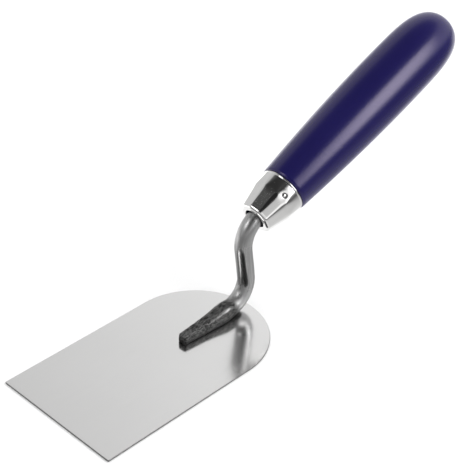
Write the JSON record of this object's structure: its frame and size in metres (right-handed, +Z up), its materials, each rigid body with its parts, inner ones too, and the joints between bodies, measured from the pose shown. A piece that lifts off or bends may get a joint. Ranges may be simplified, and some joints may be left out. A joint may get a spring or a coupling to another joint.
{
  "type": "stucco trowel",
  "caption": "Small stucco trowel with a thin round-backed steel blade, forged swan neck, faceted metal ferrule and turned lacquered wooden handle.",
  "frame": {"origin": "on the underside of the blade, on its middle line, half way along its length", "axes": "+X from the blade's front edge towards the handle, +Y across the blade, +Z up from the blade, square to it"},
  "size_m": [0.2964, 0.08, 0.1305],
  "materials": {
    "blade_steel": "fine satin ground stainless sheet",
    "forged_steel": "forged and drawn steel, polished bar and dark rough foot",
    "ferrule_nickel": "bright nickel plate",
    "lacquered_wood": "gloss dark blue lacquer on turned beech"
  },
  "bodies": {
    "root": {"blade": "blade_steel", "neck": "forged_steel", "ferrule": "ferrule_nickel", "handle": "lacquered_wood"}
  },
  "joints": []
}
